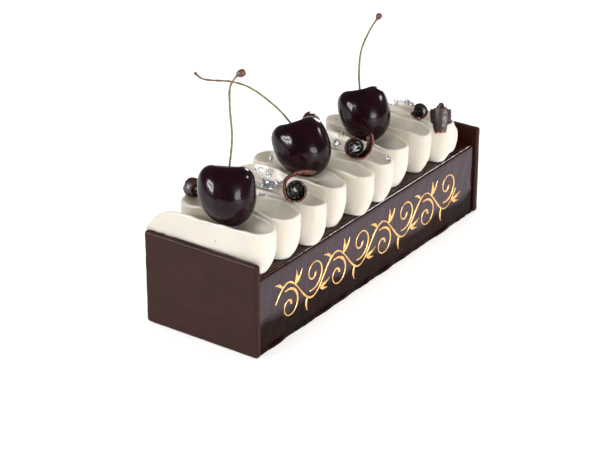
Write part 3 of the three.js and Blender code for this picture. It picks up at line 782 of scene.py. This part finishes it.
# at: middle of the near end. heading, pitch, opens: degrees, the last where the spiral ends. near,
# far: radii. recess: how deep the core starts. hand: which way it winds. tail: points of the flap.
# peak: height of a point that stands up at the far end.
CURLS = [
    {"at": (-79.3, 17.8, 67.4), "heading": 80, "length": 7, "near": 4.8, "far": 4.8,
     "turns": 1.6, "opens": 60},
    {"at": (-58.8, -26.1, 70.8), "heading": 35.3, "pitch": -20, "length": 8, "near": 5.9, "far": 5.2,
     "turns": 2.8, "opens": 185, "recess": 6.3,
     "tail": ((-5.2, 4.9), (-1.6, 8), (3.2, 9.4), (9.6, 9.2))},
    {"at": (17, 18.2, 68.4), "heading": 30, "length": 8, "near": 4.8, "far": 4.8,
     "turns": 1.6, "opens": 100},
    {"at": (0.7, -20.5, 70.8), "heading": 35.3, "pitch": -14, "length": 6.5, "near": 5.9, "far": 4,
     "turns": 1.9, "opens": 270, "hand": -1, "recess": 1.5,
     "tail": ((3.9, -5.3), (7.3, -2.4), (8.8, 1.6), (8.9, 5), (8.3, 7.6))},
    {"at": (59.6, -19, 68.7), "heading": 2, "pitch": 5, "length": 7, "near": 4.1, "far": 4.6,
     "turns": 2.1, "opens": 200, "recess": 3.5},
    {"at": (64.8, -32.3, 58.8), "heading": 35.3, "pitch": 64, "length": 13.5, "near": 4.6, "far": 6.6,
     "turns": 1.25, "opens": 60, "peak": 3.8},
]


# %% Curl shape
def curl_section(radius, near, turns, opens, tail, hand):
    """Middle line of the sheet, seen end-on: a spiral winding out to the radius, then the tail. Also
    how far inward in the spiral and how far along the tail each point lies, from 0 to 1."""
    back = turns * (1 - np.linspace(0, 1, int(round(turns * SPIRAL_STEPS)) + 1))
    angle = math.radians(opens) + hand * 2 * np.pi * back
    r = radius - CURL_SHEET / 2 - (CURL_SHEET + CURL_GAP) * back
    wound = np.stack([r * np.cos(angle), r * np.sin(angle)], -1)
    points = np.vstack([wound, np.array(tail).reshape(-1, 2) * radius / near])
    length, wound_length = (np.linalg.norm(np.diff(spline(p), axis=0), axis=1).sum()
                            for p in (points, wound))
    middle, distance = even_spline(points, length / SECTION_STEPS)
    inward = unit(1 - distance / wound_length)
    return middle, inward, unit((distance - wound_length) / (length - wound_length + 0.01))


def curl_solid(at, heading, length, near, far, turns, opens, seed, tail=(), hand=1, pitch=0.0,
               recess=0.0, peak=0.0):
    """Sections along the axis, the radius running from near to far with a swelling of half a sine
    between. The cut ends are ragged. Returns the solid and, for each point, how close it is to a cut
    end, 1 at the end and 0 from CUT_DEEP in and on the windings within, and how much painted shade it
    takes for lying inside the roll, from 0 to 1."""
    rings, closeness, roll_painted_shade = [], [], []
    for s in 0.5 - 0.5 * np.cos(np.pi * np.linspace(0, 1, 30)):
        radius = near + (far - near) * s + BARREL * np.sin(np.pi * s)
        middle, inward, on_tail = curl_section(radius, near, turns, opens, tail, hand)
        place = np.column_stack([middle, np.full(len(middle), s * length)])
        thin = CURL_SHEET / 2 * (0.86 + 0.14 * wobble(place, 2.5, seed))
        from_edge = np.minimum(np.arange(len(middle)), np.arange(len(middle))[::-1])
        from_end = min(s, 1 - s) * length
        thin *= unit(from_edge / 5 + 0.3) * np.sqrt(np.clip(from_end / END_ROUND, 0.15, 1))
        offset = across_line(middle)[1] * thin[:, None]
        ragged = 0.55 + wobbles(middle, (0.35, 1.6, seed + 1), (0.2, 0.6, seed + 2))
        turn = np.arctan2(middle[:, 1], middle[:, 0]) + np.pi / 2
        start = recess * np.sqrt(inward) + ragged * (1 - s) ** 5
        end = length * (1 - FLAP_NARROW * on_tail) - ragged * s**5
        end += peak * np.exp(-((turn / PEAK_WIDE) ** 2))
        z = start * (1 - s) + end * s
        both = np.vstack([middle + offset, (middle - offset)[::-1]])
        rings.append(np.column_stack([np.concatenate([z, z[::-1]]), -both[:, 0], both[:, 1]]))
        # The cut ends' brown is kept off the windings within, which lie in shade: painted shade.
        close = unit(1 - from_end / CUT_DEEP) * unit(1 - 2.5 * inward)
        closeness.append(np.concatenate([close, close[::-1]]))
        # Painted shade inside the roll: full on the windings within the outer one, INNER_SHADE on the
        # outer winding's inner face, none on its outer face or the flap.
        outer_face_shade = unit(2 * (inward * turns - 1))
        inner_face_shade = np.maximum(outer_face_shade, INNER_SHADE * (1 - on_tail))
        faces = [outer_face_shade, inner_face_shade] if hand > 0 else [inner_face_shade, outer_face_shade]
        roll_painted_shade.append(np.concatenate([faces[0], faces[1][::-1]]))
    turned = np.array(rings) @ tilt(np.radians([0, -pitch, heading])).T
    solid = ring_solid(turned + np.array(at), "strips")
    return solid, np.concatenate(closeness), np.concatenate(roll_painted_shade)


# %% Curl finish
shaving = Finish("chocolate_shaving", Roughness=0.45, IOR=1.46)
body_colour = shaving.ramp(shaving.noise(160, 4, 0.6), (0.3, srgb(38, 18, 15)), (0.7, srgb(66, 35, 28)))
crumb = shaving.value_ramp(shaving.noise(900, 2), 0.35, 0.65, 0.45, 1.0)
# The cut ends' warm brown is partly the chocolate's own and partly painted light on the outer winding's
# lit rim.
cut_edge_and_painted_rim_light = shaving.combine("MULTIPLY", shaving.attribute("cut_end"), crumb)
# The inside attribute darkens the roll's inner windings towards near black: painted shade.
faces_with_painted_shade = shaving.blend(shaving.attribute("inside"), body_colour, srgb(20, 9, 7))
shaving.link(shaving.blend(cut_edge_and_painted_rim_light, faces_with_painted_shade, srgb(150, 70, 44)), "Base Color")
shaving.bump((shaving.noise(500, 3), 0.00015), (shaving.noise(2400, 2), 0.00004))
for i, curl in enumerate(CURLS):
    solid, closeness, roll_painted_shade = curl_solid(seed=80 + 5 * i, **curl)
    piece = make_piece(f"chocolate_shaving_{i + 1}", [solid], f"chocolate_curl_{i + 1}", "curl",
                       cut_end=closeness, inside=roll_painted_shade)
    dress(piece, shaving)

# %% [markdown]
# ## Silver leaf
# Edible silver leaf is far thinner than paper, so it never lies flat: it lands as small torn scraps,
# crumpled into sharp folds that glitter. A scrap is a disc with a wandering outline, folded by two
# wobbles and closed with a second face a tenth of a millimetre below.

# %% Scraps of leaf
LEAF_THICK = 0.1
# Middle of each scrap, then the radius of its disc.
SILVER = [
    (-50, -3.1, 65.4, 4), (-47.2, -6.6, 65.2, 3), (-53.5, -1.2, 65.3, 2.8), (-62.8, -7.1, 65, 2.6),
    (-38.5, 11.2, 65.4, 1.9), (-40.9, 3.2, 65.4, 1.8), (-22.8, 14.5, 65.4, 1.5), (21.2, 1.4, 65.5, 2.9),
    (9.3, -3.7, 65.4, 2.9), (12.6, -1.2, 65.3, 1.8), (6, -27.6, 65.4, 1.6), (10.4, -33.8, 65.3, 1.9),
    (2.2, -19.5, 70.5, 2.6), (1.5, -20.1, 69, 1.9), (78.4, 4.3, 63.9, 2), (78.1, 7.6, 60.2, 1.5),
    (78.1, -1.6, 65.3, 2.1), (76.9, -5.7, 65.3, 2.1),
]


def leaf_scrap(x, y, z, size, seed):
    """Rings from the middle of the upper face out to the rim, then back along the lower face."""
    draw = np.random.default_rng(seed)
    t = np.linspace(0, 2 * np.pi, 30, endpoint=False)[None]
    out = np.linspace(0.05, 1, 9)[:, None]
    disc = np.stack([out * np.cos(t), out * np.sin(t)], -1)
    disc *= (1 + 0.3 * wobble(disc, 1.1, seed))[..., None] * np.array([1, draw.uniform(0.5, 0.8)])
    fold = 0.26 * wobble(disc, 0.9, seed + 1) + 0.12 * np.abs(wobble(disc, 0.4, seed + 2))
    upper = np.concatenate([disc, fold[..., None]], -1) * size
    lower = upper[::-1] - [0, 0, LEAF_THICK]
    turned = np.concatenate([upper, lower]) @ tilt(draw.uniform([-0.5, -0.5, 0], [0.5, 0.5, 3])).T
    return ring_solid(turned + np.array([x, y, z]))


scraps = [leaf_scrap(*scrap, 300 + 7 * i) for i, scrap in enumerate(SILVER)]
silver_leaf = make_piece("silver_leaf", scraps)
silver = Finish("silver_leaf", Metallic=0.7, Roughness=0.3)
glitter = silver.ramp(silver.noise(700, 2), (0.35, srgb(190, 190, 198)), (0.65, srgb(246, 246, 250)))
silver.link(glitter, "Base Color")
silver.bump((silver.noise(1400, 3), 0.0002))
dress(silver_leaf, silver)

# %% [markdown]
# ## The gold scroll
# The decorated side carries a running vine painted in gold: a waving stalk with a spiral tendril in
# each hollow, and small leaves. Painted lines swell and thin as a brush does. Each stroke is a low
# rounded band on the glaze, a fifth of a millimetre proud, with its width given along its length.

# %% Scroll strokes
GOLD_PROUD, GOLD_SUNK = 0.22, 0.3
STROKE_STEP = 0.45
SCROLL_LEFT, SCROLL_RIGHT = -85.0, 81.0
SCROLL_MIDDLE = 21.5
WAVES, WAVE_HEIGHT = 4, 8.2
TENDRIL_TURNS, TENDRIL_OUTER, TENDRIL_INNER = 1.3, 9.6, 1.6
# Widths of a stroke at even shares of its length.
STALK_WIDTHS = [0.4] + [1.3, 0.6] * WAVES * 2 + [0.4]
TENDRIL_WIDTHS = [0.8, 1.5, 1.0, 0.7, 0.6, 1.7]
LEAF_WIDTHS = [0.4, 1.7, 2.0, 0.9, 0.3]
BUD_WIDTHS = [0.4, 1.5, 1.7, 0.8, 0.3]


def stroke_solid(points, width):
    """A band along a line in XZ: half an ellipse proud of the side, its foot sunk in the glaze."""
    middle, distance = even_spline(points, STROKE_STEP)
    share = distance / distance[-1]
    half = np.interp(share, np.linspace(0, 1, len(width)), width) / 2
    half = half * (1 + 0.08 * wobble(middle, 4, 90))
    t = np.linspace(0, np.pi, 7)
    u = np.concatenate([np.cos(t), [-1, 1]])
    v = np.concatenate([GOLD_PROUD * np.sin(t), [-GOLD_SUNK, -GOLD_SUNK]])
    flat = middle[:, None] + across_line(middle)[1][:, None] * (half[:, None] * u)[..., None]
    y = np.broadcast_to(-BAR_HALF - v, flat.shape[:2])
    return ring_solid(np.stack([flat[..., 0], y, flat[..., 1]], -1))


def tendril_points(centre, start, end):
    """A spiral from angle start to end, its radius shrinking from the outer to the inner one."""
    share = np.linspace(0, 1, 22)
    turn = start + (end - start) * share
    r = TENDRIL_OUTER + (TENDRIL_INNER - TENDRIL_OUTER) * share**0.8
    return np.stack([centre[0] + r * np.cos(turn), centre[1] + r * np.sin(turn)], -1)


def leaf_points(root, heading, length):
    """A line that leaves the root and bends a little as it goes."""
    t = np.linspace(0, 1, 6)
    angle = heading + 0.5 * t
    return np.array(root) + length * t[:, None] * np.stack([np.cos(angle), np.sin(angle)], -1)


def vine_point(x):
    """Point of the stalk at x: a sine wave round the scroll's middle height."""
    share = (x - SCROLL_LEFT) / (SCROLL_RIGHT - SCROLL_LEFT)
    return np.stack([x, SCROLL_MIDDLE + WAVE_HEIGHT * np.sin(2 * np.pi * WAVES * share)], -1)


strokes = [stroke_solid(vine_point(np.linspace(SCROLL_LEFT, SCROLL_RIGHT, 70)), STALK_WIDTHS)]
half_wave = (SCROLL_RIGHT - SCROLL_LEFT) / WAVES / 2
for k in range(2 * WAVES):
    up = 1 if k % 2 == 0 else -1
    crest = SCROLL_LEFT + (k + 0.5) * half_wave
    start = up * np.pi * 0.62
    tendril = tendril_points((crest + 1.2, SCROLL_MIDDLE - up * 4.6), start,
                             start - up * 2 * np.pi * TENDRIL_TURNS)
    strokes.append(stroke_solid(tendril, TENDRIL_WIDTHS))
    root = vine_point(crest + half_wave * 0.3)
    for spread in (0.95, 0.35):
        strokes.append(stroke_solid(leaf_points(root, up * spread, 9.5 - 2 * spread), LEAF_WIDTHS))
    bud_root = vine_point(crest - half_wave * 0.2)
    strokes.append(stroke_solid(leaf_points(bud_root, up * 2.1, 7.5), BUD_WIDTHS))
gold_scroll = make_piece("gold_scroll", strokes, slot="glaze")

# %% Gold finish
gold = Finish("gold_paint", Roughness=0.4, Metallic=0.7)
dust = gold.noise(500, 3)
gold.link(gold.ramp(dust, (0.3, srgb(232, 172, 96)), (0.7, srgb(255, 214, 142))), "Base Color")
gold.bump((gold.noise(1500, 2), 0.00004))
dress(gold_scroll, gold)

# %% [markdown]
# ## Stage, light and camera
# The cake stands on a pale floor in a white studio, with soft lights to the left, in front and
# overhead, a low one at the right end and a white world to fill the rest. Cream wants gentle light and
# cherries want bright windows in their skin, which one lamp can't give. So left and front have two
# lamps each: a softbox that lights matt surfaces only, and a catch light that glossy ones mirror and
# no more. A small lamp on the right draws the line along the bar's top edge.
# The camera looks from the front left, a little above, through a long lens.

# %% Floor
FLOOR_HALF = 3.0  # metres
floor_mesh = bpy.data.meshes.new("floor")
corners = [(x * FLOOR_HALF, y * FLOOR_HALF, 0) for x, y in ((-1, -1), (1, -1), (1, 1), (-1, 1))]
floor_mesh.from_pydata(corners, [], [(0, 1, 2, 3)])
floor = add_object("floor", floor_mesh)
paper = Finish("pale_floor", Roughness=0.7, Emission_Color=(1, 1, 1, 1), Emission_Strength=0.5)
off_white = paper.ramp(paper.noise(6, 2), (0.3, srgb(244, 243, 241)), (0.7, srgb(250, 249, 248)))
paper.link(off_white, "Base Color")
dress(floor, paper)


# %% Lights
LEFT, FRONT = (-1.0, 0.51, 0.42), (-0.3, -1.1, 0.28)
AIM = Vector((0, 0, 0.05))


def soft_light(name, at, size, power, mirrored=True, lighting=True):
    """A rectangular light at a place (m), turned to face the cake. mirrored: whether it shows in
    glossy surfaces. lighting: whether it lights matt ones."""
    data = bpy.data.lights.new(name, "AREA")
    data.shape = "RECTANGLE"
    data.size, data.size_y = size
    data.energy = power
    lamp = add_object(name, data)
    lamp.location = at
    lamp.visible_glossy = mirrored
    lamp.visible_diffuse = lighting
    lamp.rotation_euler = (AIM - Vector(at)).to_track_quat("-Z", "Y").to_euler()


soft_light("left_softbox", LEFT, (0.52, 0.18), 3.4, mirrored=False)
soft_light("left_catch_light", LEFT, (0.6, 0.27), 34, lighting=False)
soft_light("front_softbox", FRONT, (0.34, 0.28), 5.5, mirrored=False)
soft_light("front_catch_light", FRONT, (0.36, 0.29), 26, lighting=False)
soft_light("edge_softbox", (0.9, -0.62, 0.51), (0.2, 0.16), 2.2)
soft_light("rim_light", (1.1, 0.3, 0.2), (0.15, 0.3), 3)
soft_light("top_softbox", (0, 0.1, 1.1), (0.9, 0.9), 6, mirrored=False)
world = bpy.data.worlds.new("white_studio")
world.use_nodes = True
world.node_tree.nodes["Background"].inputs["Color"].default_value = (1, 1, 1, 1)
world.node_tree.nodes["Background"].inputs["Strength"].default_value = 0.15
bpy.context.scene.world = world
bpy.context.scene.view_settings.view_transform = "Standard"

# %% Camera
lens = bpy.data.cameras.new("camera")
lens.lens = 128.68
lens.sensor_width = 36.0
camera = add_object("camera", lens)
right = Vector((0.5784, -0.8157, 0))
back = Vector((-0.7328, -0.5197, 0.4392))
turned = Matrix((right, back.cross(right), back)).transposed().to_4x4()
camera.matrix_world = Matrix.Translation((-0.8241, -0.5712, 0.5116)) @ turned
bpy.context.scene.camera = camera

# %% Finish
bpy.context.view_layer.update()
